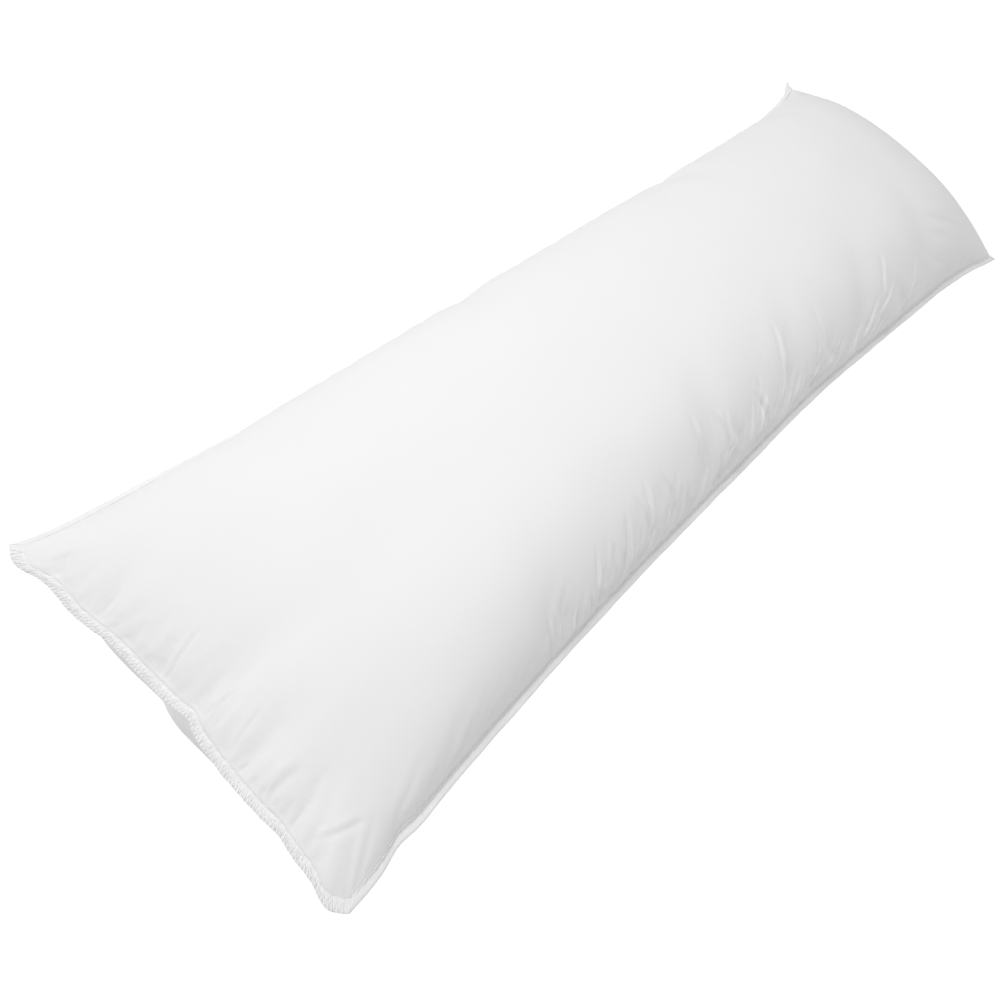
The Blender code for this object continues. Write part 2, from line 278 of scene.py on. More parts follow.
# Creases and puckers, each a small fold running in from the seam. start and stop: distance in
# from the seam; width: half its width; depth; lean: sideways run per metre of reach.
Crease = namedtuple("Crease", "side place start stop width depth lean")
CREASES = (
    Crease("near", 0.55, 0.006, 0.030, 0.0024, 0.0008, 0.12),
    Crease("near", 0.16, 0.000, 0.064, 0.0021, 0.0013, 0.12),
    Crease("near", -0.06, 0.004, 0.056, 0.0022, 0.0007, -0.20),
    Crease("near", -0.11, 0.004, 0.040, 0.0020, 0.0007, 0.16),
    Crease("near", -0.25, 0.000, 0.062, 0.0021, 0.0008, 0.09),
    Crease("near", -0.48, 0.006, 0.050, 0.0060, 0.0018, -0.15),
    Crease("near", -0.72, 0.020, 0.066, 0.0040, 0.0010, -0.49),
    Crease("right", -0.565, 0.008, 0.028, 0.0036, 0.0016, 0.18),
    Crease("right", -0.520, 0.002, 0.024, 0.0036, 0.0016, 0.70),
    Crease("right", -0.452, 0.002, 0.020, 0.0036, 0.0016, 0.50),
    Crease("right", -0.400, 0.010, 0.056, 0.0038, 0.0019, 0.26),
    Crease("right", -0.369, 0.002, 0.032, 0.0038, 0.0019, 0.28),
    Crease("right", -0.338, 0.018, 0.066, 0.0038, 0.0021, 0.13),
    Crease("right", -0.332, 0.012, 0.064, 0.0038, 0.0019, -0.23),
    Crease("right", -0.265, 0.010, 0.062, 0.0038, 0.0021, -0.26),
    Crease("right", -0.185, 0.020, 0.090, 0.0042, 0.0021, 0.02),
    Crease("right", -0.115, 0.020, 0.064, 0.0038, 0.0019, 0.05),
    Crease("right", -0.100, 0.016, 0.070, 0.0042, 0.0021, -0.33),
    Crease("right", -0.005, 0.024, 0.072, 0.0040, 0.0019, 0.00),
    Crease("right", 0.022, 0.012, 0.056, 0.0040, 0.0019, -0.63),
    Crease("right", 0.060, 0.016, 0.110, 0.0044, 0.0026, 0.16),
    Crease("right", 0.153, 0.004, 0.034, 0.0038, 0.0016, 0.29),
    Crease("right", 0.212, 0.040, 0.096, 0.0046, 0.0015, -0.15),
    Crease("right", 0.225, 0.008, 0.032, 0.0038, 0.0016, 0.80),
    Crease("right", 0.368, 0.002, 0.040, 0.0040, 0.0020, 0.79),
    Crease("right", 0.403, 0.000, 0.044, 0.0040, 0.0022, 1.15),
    Crease("right", 0.415, 0.040, 0.088, 0.0046, 0.0015, 0.33),
    Crease("right", 0.560, 0.016, 0.048, 0.0040, 0.0016, 0.16),
)
CREASE_RIDGE = 0.6           # the fold that stands up beside a crease, as a share of its depth
CREASE_RIDGE_OFF = 1.7       # how far beside it, in widths

# Fine gathers: short creases side by side, close to the seam. pitch: from one to the next
FineGathers = namedtuple("FineGathers", "side start stop pitch length width depth lean")
FINE_GATHERS = (
    FineGathers("right", -0.58, 0.34, 0.0105, 0.022, 0.0020, 0.0020, 0.30),
    FineGathers("right", -0.50, 0.34, 0.0230, 0.038, 0.0028, 0.0018, 0.20),
    FineGathers("right", 0.34, 0.60, 0.0180, 0.018, 0.0028, 0.0016, 0.40),
    FineGathers("right", 0.60, 0.95, 0.0240, 0.014, 0.0040, 0.0009, 0.30),
    FineGathers("near", -0.66, -0.04, 0.0085, 0.016, 0.0018, 0.0007, 0.00),
    FineGathers("near", -0.04, 0.90, 0.0160, 0.012, 0.0022, 0.0005, 0.00),
    FineGathers("left", -0.70, 0.80, 0.0320, 0.012, 0.0040, 0.0006, 0.00),
    FineGathers("far", -0.80, 0.80, 0.0240, 0.012, 0.0040, 0.0008, 0.00),
)
GATHERS_START = 0.0025       # distance in from the seam
GATHERS_SEED = 31


def fine_creases():
    """The fine gathers one by one, no two quite alike."""
    random = np.random.RandomState(GATHERS_SEED)
    creases = []
    for gathers in FINE_GATHERS:
        half = (WIDTH if gathers.side in ("near", "far") else LENGTH) / 2
        count = int((gathers.stop - gathers.start) * half / gathers.pitch)
        for number in range(count):
            shift, length, width, depth, lean = random.uniform(-1, 1, 5)
            place = gathers.start + (number + 0.5 + 0.4 * shift) * gathers.pitch / half
            creases.append(Crease(
                gathers.side, place, GATHERS_START, gathers.length * (1 + 0.5 * length),
                gathers.width * (1.1 + 0.3 * width), gathers.depth * (0.8 + 0.5 * depth),
                gathers.lean + 0.3 * lean))
    return creases


def smooth_step(value):
    value = np.clip(value, 0.0, 1.0)
    return value * value * (3 - 2 * value)


def crease_depth(creases, along, across):
    total = np.zeros(np.shape(along))
    for crease in creases:
        depth, run, half = inward(crease.side, along, across)
        near = np.flatnonzero(depth < crease.stop * 1.2)
        depth, run = depth[near], run[near]
        sideways = (run - crease.place * half - crease.lean * depth) / crease.width
        part = (depth - crease.start) / (crease.stop - crease.start)
        ends = smooth_step(part / 0.35 + 0.5) * smooth_step((1.15 - part) / 0.6)
        groove = np.exp(-sideways ** 2) - CREASE_RIDGE * np.exp(-(sideways - CREASE_RIDGE_OFF) ** 2)
        total[near] += crease.depth * ends * groove
    return total


LUMP_TABLE = 64


def lumps(along, across, size, seed):
    """Smooth random values from -1 to 1, one every so many metres, the same on each run."""
    table = np.random.RandomState(seed).uniform(-1, 1, (LUMP_TABLE, LUMP_TABLE))
    u = along * LENGTH / 2 / size + LUMP_TABLE / 2
    v = across * WIDTH / 2 / size + LUMP_TABLE / 2
    column, row = u.astype(int), v.astype(int)
    u, v = smooth_step(u - column), smooth_step(v - row)
    low = table[row, column] * (1 - u) + table[row, column + 1] * u
    high = table[row + 1, column] * (1 - u) + table[row + 1, column + 1] * u
    return low * (1 - v) + high * v


# The loose fibre never lies quite even: low, wide lumps under the cloth. size: from one to the next
Lumps = namedtuple("Lumps", "height size seed")
FIBRE_LUMPS = (Lumps(0.0022, 0.16, 3), Lumps(0.0009, 0.07, 8))
LUMPS_START = 0.06           # they grow to their full height over this distance from the seam


def unevenness(along, across):
    edge = smooth_step((1 - np.abs(along)) * LENGTH / 2 / LUMPS_START)
    edge = edge * smooth_step((1 - np.abs(across)) * WIDTH / 2 / LUMPS_START)
    return edge * sum(
        part.height * lumps(along, across, part.size, part.seed) for part in FIBRE_LUMPS)


# A panel's mesh. along and across: the fractions of its points; border: its outer points, once
# round from the near right corner, anticlockwise from above.
Panel = namedtuple("Panel", "along across faces border")


def squares(index):
    """Four-sided faces of a grid of point numbers."""
    corners = (index[:-1, :-1], index[:-1, 1:], index[1:, 1:], index[1:, :-1])
    return np.stack([part.ravel() for part in corners], axis=1).tolist()


def even_panel(along_lines, across_lines):
    along, across = np.meshgrid(along_lines, across_lines)
    index = np.arange(along.size).reshape(along.shape)
    border = (index[0, :-1], index[:-1, -1], index[-1, :0:-1], index[:0:-1, 0])
    return Panel(along.ravel(), across.ravel(), squares(index), np.concatenate(border))


# Sizes of the front panel's squares, in metres, from the near end to the far one and from the
# right side to the left one: smallest where the cloth is gathered.
SquareSize = namedtuple("SquareSize", "fraction size")
FRONT_ALONG = (
    SquareSize(-1.00, 0.0010),
    SquareSize(-0.93, 0.0011),
    SquareSize(-0.88, 0.0022),
    SquareSize(-0.66, 0.0020),
    SquareSize(-0.60, 0.0013),
    SquareSize(0.62, 0.0014),
    SquareSize(0.70, 0.0026),
    SquareSize(0.95, 0.0030),
    SquareSize(1.00, 0.0015),
)
FRONT_ACROSS = (
    SquareSize(-1.00, 0.0014),
    SquareSize(-0.95, 0.0020),
    SquareSize(-0.80, 0.0036),
    SquareSize(-0.55, 0.0070),
    SquareSize(0.00, 0.0120),
    SquareSize(0.60, 0.0100),
    SquareSize(0.90, 0.0040),
    SquareSize(1.00, 0.0020),
)
NEAR_BLOCK = 0.070           # closer to the near end than this, it has more squares across
NEAR_ACROSS = 260
ALONG_CROWDING = 0.35        # how much other squares crowd towards the seam
ACROSS_CROWDING = 0.5


SIZE_STEPS = 4000            # how finely the table is followed


def square_lines(sizes, length):
    """Fractions of the lines between squares whose sizes follow a table."""
    fractions = np.linspace(-1, 1, SIZE_STEPS + 1)
    size = np.interp(fractions, [s.fraction for s in sizes], [s.size for s in sizes])
    passed = np.concatenate(((0.0,), np.cumsum(length / SIZE_STEPS / size[1:])))
    lines = np.interp(np.linspace(0, passed[-1], int(passed[-1]) + 1), passed, fractions)
    lines[0], lines[-1] = -1.0, 1.0
    return lines


def zipped(upper, lower, upper_places, lower_places):
    """Triangles between two unlike rows of points, each point with its place along the row."""
    faces = []
    high = low = 0
    while high < len(upper) - 1 or low < len(lower) - 1:
        low_done = low == len(lower) - 1
        if low_done or (high < len(upper) - 1 and upper_places[high + 1] <= lower_places[low + 1]):
            faces.append([upper[high], lower[low], upper[high + 1]])
            high += 1
        else:
            faces.append([upper[high], lower[low], lower[low + 1]])
            low += 1
    return faces


def front_panel():
    along_lines = square_lines(FRONT_ALONG, LENGTH)
    near_lines = crowd(np.linspace(-1, 1, NEAR_ACROSS + 1), ACROSS_CROWDING)
    rest_lines = square_lines(FRONT_ACROSS, WIDTH)
    last = int(np.searchsorted((1 + along_lines) * LENGTH / 2, NEAR_BLOCK))
    near = np.meshgrid(along_lines[:last + 1], near_lines)
    rest = np.meshgrid(along_lines[last + 1:], rest_lines)
    near_index = np.arange(near[0].size).reshape(near[0].shape)
    rest_index = near[0].size + np.arange(rest[0].size).reshape(rest[0].shape)
    faces = squares(near_index) + squares(rest_index)
    faces += zipped(
        near_index[:, -1].tolist(), rest_index[:, 0].tolist(), near_lines, rest_lines)
    border = np.concatenate((
        near_index[0], rest_index[0, :-1], rest_index[:-1, -1], rest_index[-1, ::-1],
        near_index[-1, :0:-1], near_index[:0:-1, 0]))
    along = np.concatenate((near[0].ravel(), rest[0].ravel()))
    across = np.concatenate((near[1].ravel(), rest[1].ravel()))
    return Panel(along, across, faces, border)


def turns(panel):
    """How far round the border each border point is, from 0 to 4, and 4 for the first again."""
    along, across = panel.along[panel.border], panel.across[panel.border]
    sides = [across < -0.999999, along > 0.999999, across > 0.999999]
    values = [(1 + along) / 2, (3 + across) / 2, (5 - along) / 2]
    return np.append(np.select(sides, values, (7 - across) / 2), 4.0).tolist()


def smooth_piece(name, points, faces):
    mesh = bpy.data.meshes.new(name)
    mesh.from_pydata(points.reshape(-1, 3).tolist(), [], faces)
    mesh.shade_smooth()
    piece = bpy.data.objects.new(name, mesh)
    bpy.context.scene.collection.objects.link(piece)
    return piece


def closed_shell(name, front, front_points, back, back_points):
    """One closed mesh from the two panels, joined round their borders."""
    first_back = len(front_points)
    faces = front.faces + [[first_back + number for number in face[::-1]] for face in back.faces]
    upper = np.append(front.border, front.border[0]).tolist()
    lower = (first_back + np.append(back.border, back.border[0])).tolist()
    faces += zipped(upper, lower, turns(front), turns(back))
    return smooth_piece(name, np.concatenate((front_points, back_points)), faces)


# The cloth simulation. The cloth near the seam is a little longer than the seam it is gathered
# into, so under the pressure of the filling it puckers there.
GATHER = 0.03                # share of spare cloth at the seam
GATHER_REACH = 0.060
PUCKER_LIMIT = 0.006         # how far a point may leave the filled shape
SEAM_STILL = 0.004           # this close to the seam, its puckers fade out
FRONT_PASSES = 60            # how widely the overall swelling is averaged before it is dropped
BACK_PASSES = 20
SETTLE_FRAMES = 20
SIMULATED_ALONG = 300        # squares of the simulated front panel
SIMULATED_ACROSS = 100
BACK_FINENESS = 2            # the back panel has this many times fewer, each way
SIMULATED_CROWDING = 0.3

# Where the spare cloth is. share: of GATHER; soft: how gently it begins and ends along the side
Spare = namedtuple("Spare", "side start stop share soft")
SPARES = (
    Spare("near", -0.95, 0.95, 0.5, 0.10),
    Spare("right", -0.60, 0.62, 1.0, 0.08),
    Spare("right", -0.95, 0.95, 0.3, 0.10),
    Spare("left", -0.90, 0.90, 0.3, 0.10),
    Spare("far", -0.90, 0.90, 0.5, 0.20),
)


def spare_cloth(along, across):
    """Share of GATHER that the cloth has to spare at each place."""
    most = np.zeros(np.shape(along))
    for spare in SPARES:
        depth, run, half = inward(spare.side, along, across)
        begin = smooth_step((run / half - spare.start) / spare.soft)
        end = smooth_step((spare.stop - run / half) / spare.soft)
        close = 1 - smooth_step(depth / GATHER_REACH)
        most = np.maximum(most, spare.share * begin * end * close)
    return most


def gathered(front, front_points, back, back_points):
    """How far the simulated cloth moves each point of the two panels."""
    cloth_piece = closed_shell("gathering", front, front_points, back, back_points)
    seam = cloth_piece.vertex_groups.new(name="seam")
    ease = cloth_piece.vertex_groups.new(name="ease")
    count = len(front_points)
    seam.add(front.border.tolist() + (count + back.border).tolist(), 1.0, "REPLACE")
    spare = np.concatenate((
        spare_cloth(front.along, front.across), spare_cloth(back.along, back.across)))
    for number, share in enumerate(spare.tolist()):
        ease.add([number], 1 - share, "REPLACE")
    cloth = cloth_piece.modifiers.new("cloth", "CLOTH")
    cloth.settings.quality = 5
    cloth.settings.mass = 0.002
    cloth.settings.tension_stiffness = 20
    cloth.settings.compression_stiffness = 20
    cloth.settings.shear_stiffness = 8
    cloth.settings.bending_stiffness = 0.02
    cloth.settings.vertex_group_mass = "seam"
    cloth.settings.pin_stiffness = 1
    cloth.settings.vertex_group_shrink = "ease"
    cloth.settings.shrink_min = -GATHER
    cloth.settings.shrink_max = 0.0
    cloth.settings.use_pressure = True
    cloth.settings.uniform_pressure_force = 4
    cloth.settings.effector_weights.gravity = 0
    cloth.point_cache.frame_start = 1
    cloth.point_cache.frame_end = SETTLE_FRAMES
    scene = bpy.context.scene
    for number in range(1, SETTLE_FRAMES + 1):
        scene.frame_set(number)
    settled = cloth_piece.evaluated_get(bpy.context.evaluated_depsgraph_get())
    places = np.empty((count + len(back_points)) * 3)
    settled.data.vertices.foreach_get("co", places)
    places = places.reshape(-1, 3)
    scene.frame_set(1)
    bpy.data.meshes.remove(cloth_piece.data)
    return places[:count] - front_points, places[count:] - back_points


def softened(values, passes):
    """Averages a grid of moves with its neighbours, keeping the border still."""
    for _ in range(passes):
        padded = np.pad(values, ((1, 1), (1, 1), (0, 0)), mode="edge")
        middle = padded[1:-1, 1:-1]
        cross = padded[:-2, 1:-1] + padded[2:, 1:-1] + padded[1:-1, :-2] + padded[1:-1, 2:]
        values = (middle * 2 + cross) / 6
        values[0] = values[-1] = 0
        values[:, 0] = values[:, -1] = 0
    return values


def puckers_only(moves, passes):
    """Keeps the folds and drops the overall swelling, which the shape already has."""
    folds = moves - softened(moves, passes)
    size = np.linalg.norm(folds, axis=-1, keepdims=True)
    return folds * np.minimum(1.0, PUCKER_LIMIT / np.maximum(size, 1e-9))


def sampled(moves, along_lines, across_lines, along, across):
    """A grid's moves at any places, blended smoothly between its lines."""
    column = np.interp(along, along_lines, np.arange(len(along_lines)))
    row = np.interp(across, across_lines, np.arange(len(across_lines)))
    first_column = np.minimum(column.astype(int), len(along_lines) - 2)
    first_row = np.minimum(row.astype(int), len(across_lines) - 2)
    padded = np.pad(moves, ((1, 1), (1, 1), (0, 0)), mode="edge")
    blends = []
    for part in (row - first_row, column - first_column):
        blends.append((
            (1 - part) ** 3 / 6, (3 * part ** 3 - 6 * part ** 2 + 4) / 6,
            (-3 * part ** 3 + 3 * part ** 2 + 3 * part + 1) / 6, part ** 3 / 6))
    total = np.zeros((len(along), 3))
    for down, row_share in enumerate(blends[0]):
        for over, column_share in enumerate(blends[1]):
            share = (row_share * column_share)[:, None]
            total += share * padded[first_row + down, first_column + over]
    to_seam = np.minimum((1 - np.abs(along)) * LENGTH, (1 - np.abs(across)) * WIDTH) / 2
    return total * smooth_step(to_seam / SEAM_STILL)[:, None]


coarse_along = crowd(np.linspace(-1, 1, SIMULATED_ALONG + 1), SIMULATED_CROWDING)
coarse_across = crowd(np.linspace(-1, 1, SIMULATED_ACROSS + 1), ACROSS_CROWDING)
back = even_panel(coarse_along[::BACK_FINENESS], coarse_across[::BACK_FINENESS])
back_normals = shape_normals(back_place, back.along, back.across, False)
back_points = back_place(back.along, back.across)
off_floor = np.minimum(1.0, back_points[:, 2:] / SEAM_LEVEL)
back_troughs = trough_depth(BACK_TROUGHS, back.along, back.across)[:, None]
back_points = back_points - back_normals * back_troughs * off_floor

front = front_panel()
front_normals = shape_normals(front_place, front.along, front.across, True)
pressed = (
    trough_depth(FRONT_TROUGHS, front.along, front.across)
    + unevenness(front.along, front.across)
    + crease_depth(CREASES + tuple(fine_creases()), front.along, front.across))
front_points = front_place(front.along, front.across) - front_normals * pressed[:, None]

coarse = even_panel(coarse_along, coarse_across)
coarse_normals = shape_normals(front_place, coarse.along, coarse.across, True)
coarse_troughs = trough_depth(FRONT_TROUGHS, coarse.along, coarse.across)[:, None]
coarse_points = front_place(coarse.along, coarse.across) - coarse_normals * coarse_troughs
front_moves, back_moves = gathered(coarse, coarse_points, back, back_points)
front_moves = front_moves.reshape(SIMULATED_ACROSS + 1, SIMULATED_ALONG + 1, 3)
front_points = front_points + sampled(
    puckers_only(front_moves, FRONT_PASSES), coarse_along, coarse_across,
    front.along, front.across)
back_shape = (SIMULATED_ACROSS // BACK_FINENESS + 1, SIMULATED_ALONG // BACK_FINENESS + 1, 3)
back_folds = puckers_only(back_moves.reshape(back_shape), BACK_PASSES).reshape(-1, 3)
back_points = back_points + back_folds * off_floor
back_points[:, 2] = np.maximum(back_points[:, 2], 0.0)

filled_case = closed_shell("filled_case", front, front_points, back, back_points)


# Fine plain-weave cotton: white, matt, with a faint sheen and slubs in the yarn.
COTTON_WHITE = (0.86, 0.86, 0.86)
COTTON_SHADE = 0.975         # its duller patches, as a share of its colour
COTTON_ROUGHNESS = (0.68, 0.88)
PATCH_SCALE = 9.0
SLUB_SCALE = 260.0
SLUB_HEIGHT = 0.0002
YARNS_PER_METRE = 1900
WEAVE_HEIGHT = 0.00008


def noise(tree, place, scale, detail):
    """Soft random values, fixed to the cloth."""
    node = tree.nodes.new("ShaderNodeTexNoise")
    node.inputs["Scale"].default_value = scale
    node.inputs["Detail"].default_value = detail
    tree.links.new(place.outputs["Object"], node.inputs["Vector"])
    return node.outputs["Fac"]


def vary_colour(tree, values, colour, shade):
    """The colour where the values are high, and a share of it where they are low."""
    tone = tree.nodes.new("ShaderNodeMix")
    tone.data_type = "RGBA"
    tone.inputs["A"].default_value = (*[part * shade for part in colour], 1.0)
    tone.inputs["B"].default_value = (*colour, 1.0)
    tree.links.new(values, tone.inputs["Factor"])
    tree.links.new(tone.outputs["Result"], tree.nodes["Principled BSDF"].inputs["Base Color"])


def vary_roughness(tree, values, lowest, highest):
    rough = tree.nodes.new("ShaderNodeMapRange")
    rough.inputs["To Min"].default_value = lowest
    rough.inputs["To Max"].default_value = highest
    tree.links.new(values, rough.inputs["Value"])
    tree.links.new(rough.outputs["Result"], tree.nodes["Principled BSDF"].inputs["Roughness"])


def raised(tree, values, strength, height):
    node = tree.nodes.new("ShaderNodeBump")
    node.inputs["Strength"].default_value = strength
    node.inputs["Distance"].default_value = height
    tree.links.new(values, node.inputs["Height"])
    return node


def white_cotton(name):
    material = bpy.data.materials.new(name)
    material.use_nodes = True
    tree = material.node_tree
    shader = tree.nodes["Principled BSDF"]
    shader.inputs["Metallic"].default_value = 0.0
    shader.inputs["Sheen Weight"].default_value = 0.25
    shader.inputs["Sheen Roughness"].default_value = 0.5
    shader.inputs["Specular IOR Level"].default_value = 0.25
    place = tree.nodes.new("ShaderNodeTexCoord")
    slubs = noise(tree, place, SLUB_SCALE, 3.0)
    patches = noise(tree, place, PATCH_SCALE, 2.0)
    vary_colour(tree, patches, COTTON_WHITE, COTTON_SHADE)
    vary_roughness(tree, slubs, *COTTON_ROUGHNESS)

    split = tree.nodes.new("ShaderNodeSeparateXYZ")
    tree.links.new(place.outputs["UV"], split.inputs["Vector"])
    yarns = []
    for axis in ("X", "Y"):
        scale = tree.nodes.new("ShaderNodeMath")
        scale.operation = "MULTIPLY"
        scale.inputs[1].default_value = YARNS_PER_METRE * 2 * math.pi
        tree.links.new(split.outputs[axis], scale.inputs[0])
        wave = tree.nodes.new("ShaderNodeMath")
        wave.operation = "SINE"
        tree.links.new(scale.outputs["Value"], wave.inputs[0])
        yarns.append(wave)
    crossing = tree.nodes.new("ShaderNodeMath")
    crossing.operation = "MULTIPLY"
    tree.links.new(yarns[0].outputs["Value"], crossing.inputs[0])
    tree.links.new(yarns[1].outputs["Value"], crossing.inputs[1])
    weave = raised(tree, crossing.outputs["Value"], 0.3, WEAVE_HEIGHT)
    cloth = raised(tree, slubs, 0.25, SLUB_HEIGHT)
    tree.links.new(weave.outputs["Normal"], cloth.inputs["Normal"])
    tree.links.new(cloth.outputs["Normal"], shader.inputs["Normal"])
    return material


def lay_out_yarns(piece, places):
    """A UV map in metres of cloth, so that the weave keeps its size everywhere."""
    layer = piece.data.uv_layers.new(name="cloth")
    corners = np.empty(len(piece.data.loops), dtype=int)
    piece.data.loops.foreach_get("vertex_index", corners)
    layer.data.foreach_set("uv", places[corners].ravel())


CLOTH_ACROSS = 1.08          # the way over the filling from side to side, as a share of WIDTH
flat_places = [
    np.stack((panel.along * LENGTH / 2, panel.across * WIDTH / 2 * CLOTH_ACROSS), axis=-1)
    for panel in (front, back)]
lay_out_yarns(filled_case, np.concatenate(flat_places))
filled_case.data.materials.append(white_cotton("pillow_cotton"))
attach(filled_case, "root")
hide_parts("pillow")

# ---------------------------------------------------------------------------------------------
# Turned edges. The seam allowance of both panels stands out all round, about 10 mm wide. The
# long sides and the far end were sewn inside out and turned, then pressed into a smooth flat
# edge and stitched through beside the filling.
# ---------------------------------------------------------------------------------------------
EDGE_WIDTH = 0.0100
EDGE_DROOP = 0.0015

# Section of the edge: out from the seam as a share of its width, and up in metres. It starts as
# a small hollow curve where the cloth comes down off the filling.
SectionPoint = namedtuple("SectionPoint", "out up")
TURNED_SECTION = (
    SectionPoint(-0.10, 0.0085),
    SectionPoint(-0.02, 0.0072),
    SectionPoint(0.04, 0.0055),
    SectionPoint(0.10, 0.0040),
    SectionPoint(0.18, 0.0027),
    SectionPoint(0.28, 0.0018),
    SectionPoint(0.40, 0.0014),
    SectionPoint(0.60, 0.0013),
    SectionPoint(0.82, 0.0011),
    SectionPoint(0.94, 0.0007),
    SectionPoint(1.00, 0.0000),
    SectionPoint(0.94, -0.0007),
    SectionPoint(0.80, -0.0011),
    SectionPoint(0.50, -0.0013),
    SectionPoint(0.20, -0.0014),
    SectionPoint(0.06, -0.0018),
    SectionPoint(-0.10, -0.0030),
)

# hang and ruffle: height of the waves up and down, and in and out, at its outer side; gather:
# of the small waves where it meets the filling; bumps: of the unevenness all over it
SewnEdge = namedtuple("SewnEdge", "name side node squares hang ruffle gather bumps seed")
TURNED_EDGES = (
    SewnEdge("right_turned_edge", "right", "right_edge", 900, 0.0008, 0.0005, 0.0006, 0.0001, 11),
    SewnEdge("left_turned_edge", "left", "left_edge", 900, 0.0008, 0.0005, 0.0003, 0.0001, 12),
    SewnEdge("far_turned_edge", "far", "far_end_edge", 280, 0.0010, 0.0006, 0.0003, 0.0001, 13),
)
GATHER_WAVES = (0.0135, 0.0090, 0.0062)     # lengths of the small waves
BUMP_SIZE = 0.0028           # from one bump to the next
WAVE_LENGTHS = {             # of the larger ones
    "right": (0.16, 0.071, 0.043),
    "left": (0.16, 0.071, 0.043),
    "far": (0.13, 0.060, 0.034),
    "near": (0.105, 0.052, 0.031, 0.017),
}

# Where an edge changes: the left one is narrower and hangs less beside the near corner, and
# ends in a small square tab at the far one. width and hang: what is added, in metres
Slack = namedtuple("Slack", "side place reach width hang")
SLACKS = (
    Slack("left", -0.948, 0.026, -0.0016, 0.0015),
    Slack("left", 0.988, 0.015, 0.0100, 0.0000),
)


def waves(run, lengths, seed):
    """Uneven waves from wavelengths that never line up, between about -1 and 1."""
    shifts = np.random.RandomState(seed).uniform(0, 2 * math.pi, len(lengths))
    shares = np.linspace(1.0, 0.5, len(lengths))
    total = sum(s * np.sin(run * 2 * math.pi / w + p) for s, w, p in zip(shares, lengths, shifts))
    return total / shares.sum()


def bump_table(u, v, seed):
    """Smooth random values between 0 and 1, one at every whole number."""
    table = np.random.RandomState(seed).uniform(0, 2, (8, 1024))
    column, row = np.floor(u).astype(int), np.floor(v).astype(int)
    u, v = smooth_step(u - column), smooth_step(v - row)
    column, row = column % 1023, row % 7
    low = table[row, column] * (1 - u) + table[row, column + 1] * u
    high = table[row + 1, column] * (1 - u) + table[row + 1, column + 1] * u
    return (low * (1 - v) + high * v) / 2


ROOT_BASE = 0.0014           # what an edge has above this lies against the filled panel
ROOT_INSIDE = 0.004          # how far in from the seam the panel's height is taken for them
ROOT_FULL = 0.012            # where the panel is lower than this, that part is lower too


def edge_place(edge, run, out, up):
    """Points of an edge: run along it in metres, out as a share of its width, up in metres."""
    run, out, up = np.broadcast_arrays(run, out, up)
    on_end = edge.side in ("near", "far")
    sign = -1.0 if edge.side in ("near", "right") else 1.0
    half = (WIDTH if on_end else LENGTH) / 2
    share = np.clip(run / half, -1, 1)
    fixed = np.full(share.shape, sign)
    along, across = (fixed, share) if on_end else (share, fixed)
    width = EDGE_WIDTH
    hang = edge.hang * waves(run, WAVE_LENGTHS[edge.side], edge.seed) - EDGE_DROOP
    for slack in SLACKS:
        if slack.side == edge.side:
            close = np.exp(-((run - slack.place * half) / slack.reach) ** 2)
            width = width + slack.width * close
            hang = hang + slack.hang * close
    inside_x = 1 - ROOT_INSIDE * 2 / LENGTH if on_end else 1.0
    inside_y = 1.0 if on_end else 1 - ROOT_INSIDE * 2 / WIDTH
    full = fullness(
        along * inside_x, across * inside_y, FRONT_NEAR_SWELL, FRONT_RIGHT_SWELL,
        FRONT_LEFT_SWELL)
    root = np.maximum(up - ROOT_BASE, 0.0) * (1 - np.minimum(1.0, CROWN * full / ROOT_FULL))
    up = up - root
    outer = np.maximum(out, 0.0)
    ruffle = edge.ruffle * waves(run, WAVE_LENGTHS[edge.side], edge.seed + 20) * outer
    x, y = plan_place(along, across, out * width + ruffle)
    inner = edge.gather * waves(run, GATHER_WAVES, edge.seed + 40) * (1 - smooth_step(out / 0.5))
    u, v = run / BUMP_SIZE, out * EDGE_WIDTH / BUMP_SIZE
    rough = edge.bumps * (bump_table(u, v, edge.seed) - 0.5) * np.sign(up)
    z = seam_height(along, across) + up + inner + rough + hang * outer ** 2
    return np.stack((x, y, z), axis=-1)


def edge_strip(edge, section):
    """A strip rolled round its section along one edge, closed at both ends."""
    on_end = edge.side in ("near", "far")
    half = (WIDTH if on_end else LENGTH) / 2
    run = crowd(np.linspace(-1, 1, edge.squares + 1), ALONG_CROWDING) * half
    out = np.array([point.out for point in section])[:, None]
    up = np.array([point.up for point in section])[:, None]
    points = edge_place(edge, run[None, :], out, up)
    index = np.arange(points.shape[0] * points.shape[1]).reshape(points.shape[:2])
    faces = squares(np.vstack((index, index[:1])))
    faces.append(index[:, 0].tolist())
    faces.append(index[::-1, -1].tolist())
    if edge.side in ("far", "right"):
        faces = [face[::-1] for face in faces]
    strip = smooth_piece(edge.name, points, faces)
    steps = np.hypot(np.diff(out[:, 0]) * EDGE_WIDTH, np.diff(up[:, 0]))
    around = np.append(0.0, np.cumsum(steps))
    lay_out_yarns(strip, np.stack(np.meshgrid(run, around), axis=-1).reshape(-1, 2))
    return strip


THREAD_SIDES = 6


